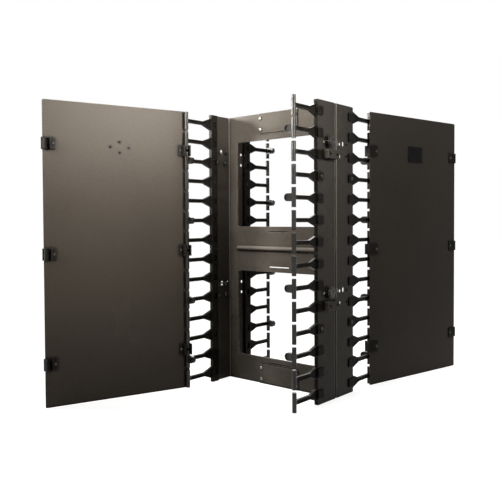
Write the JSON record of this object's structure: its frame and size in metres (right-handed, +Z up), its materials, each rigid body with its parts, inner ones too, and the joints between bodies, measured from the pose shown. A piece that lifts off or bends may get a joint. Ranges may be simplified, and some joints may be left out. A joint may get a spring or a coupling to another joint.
{
  "type": "vertical cable manager",
  "caption": "Vertical cable manager section: windowed steel trays back to back, moulded T-bar cable fingers on every edge and hinged steel doors front and rear, for bolting beside a rack.",
  "frame": {"origin": "on the floor plane, at the middle of the trays' base, between the two webs", "axes": "+X to the right seen from the front, +Y to the rear, +Z up"},
  "size_m": [0.4916, 0.8769, 0.6223],
  "materials": {
    "tray_coat": "fine textured black powder coat",
    "door_coat": "fine textured black powder coat",
    "finger_plastic": "satin black moulded plastic",
    "clip_plastic": "satin black moulded plastic",
    "badge_plastic": "plain dark badge plate",
    "fastener_steel": "black zinc plated steel"
  },
  "bodies": {
    "frame": {"bracket_nuts": "fastener_steel", "bracket_screws": "fastener_steel", "finger_strip_front_left_lower": "finger_plastic", "finger_strip_front_left_upper": "finger_plastic", "finger_strip_front_right_lower": "finger_plastic", "finger_strip_front_right_upper": "finger_plastic", "finger_strip_rear_left_lower": "finger_plastic", "finger_strip_rear_left_upper": "finger_plastic", "finger_strip_rear_right_lower": "finger_plastic", "finger_strip_rear_right_upper": "finger_plastic", "front_tray": "tray_coat", "hanger_stud_lower": "fastener_steel", "hanger_stud_nuts": "fastener_steel", "hanger_stud_upper": "fastener_steel", "join_plate_lower": "tray_coat", "join_plate_upper": "tray_coat", "rack_screws": "fastener_steel", "rear_tray": "tray_coat", "standoff_bracket_lower": "tray_coat", "standoff_bracket_upper": "tray_coat", "strip_screws": "fastener_steel", "tray_bolts": "fastener_steel", "tray_nuts": "fastener_steel"},
    "front_door": {"front_badge_push_nuts": "fastener_steel", "front_door_badge": "badge_plastic", "front_door_panel": "door_coat", "front_door_rivets": "fastener_steel", "front_hinge_clip_lower": "clip_plastic", "front_hinge_clip_middle": "clip_plastic", "front_hinge_clip_upper": "clip_plastic", "front_latch_clip_lower": "clip_plastic", "front_latch_clip_middle": "clip_plastic", "front_latch_clip_upper": "clip_plastic"},
    "rear_door": {"rear_badge_push_nuts": "fastener_steel", "rear_door_badge": "badge_plastic", "rear_door_panel": "door_coat", "rear_door_rivets": "fastener_steel", "rear_hinge_clip_lower": "clip_plastic", "rear_hinge_clip_middle": "clip_plastic", "rear_hinge_clip_upper": "clip_plastic", "rear_latch_clip_lower": "clip_plastic", "rear_latch_clip_middle": "clip_plastic", "rear_latch_clip_upper": "clip_plastic"}
  },
  "joints": [
    {"name": "front_door_hinge", "type": "hinge", "parent": "frame", "child": "front_door", "pos_m": [-0.15, -0.1415, 0], "axis": [0, 0, 1], "range_deg": [0, 109.5]},
    {"name": "rear_door_hinge", "type": "hinge", "parent": "frame", "child": "rear_door", "pos_m": [0.15, 0.1415, 0], "axis": [0, 0, 1], "range_deg": [-7, 102.5]}
  ]
}
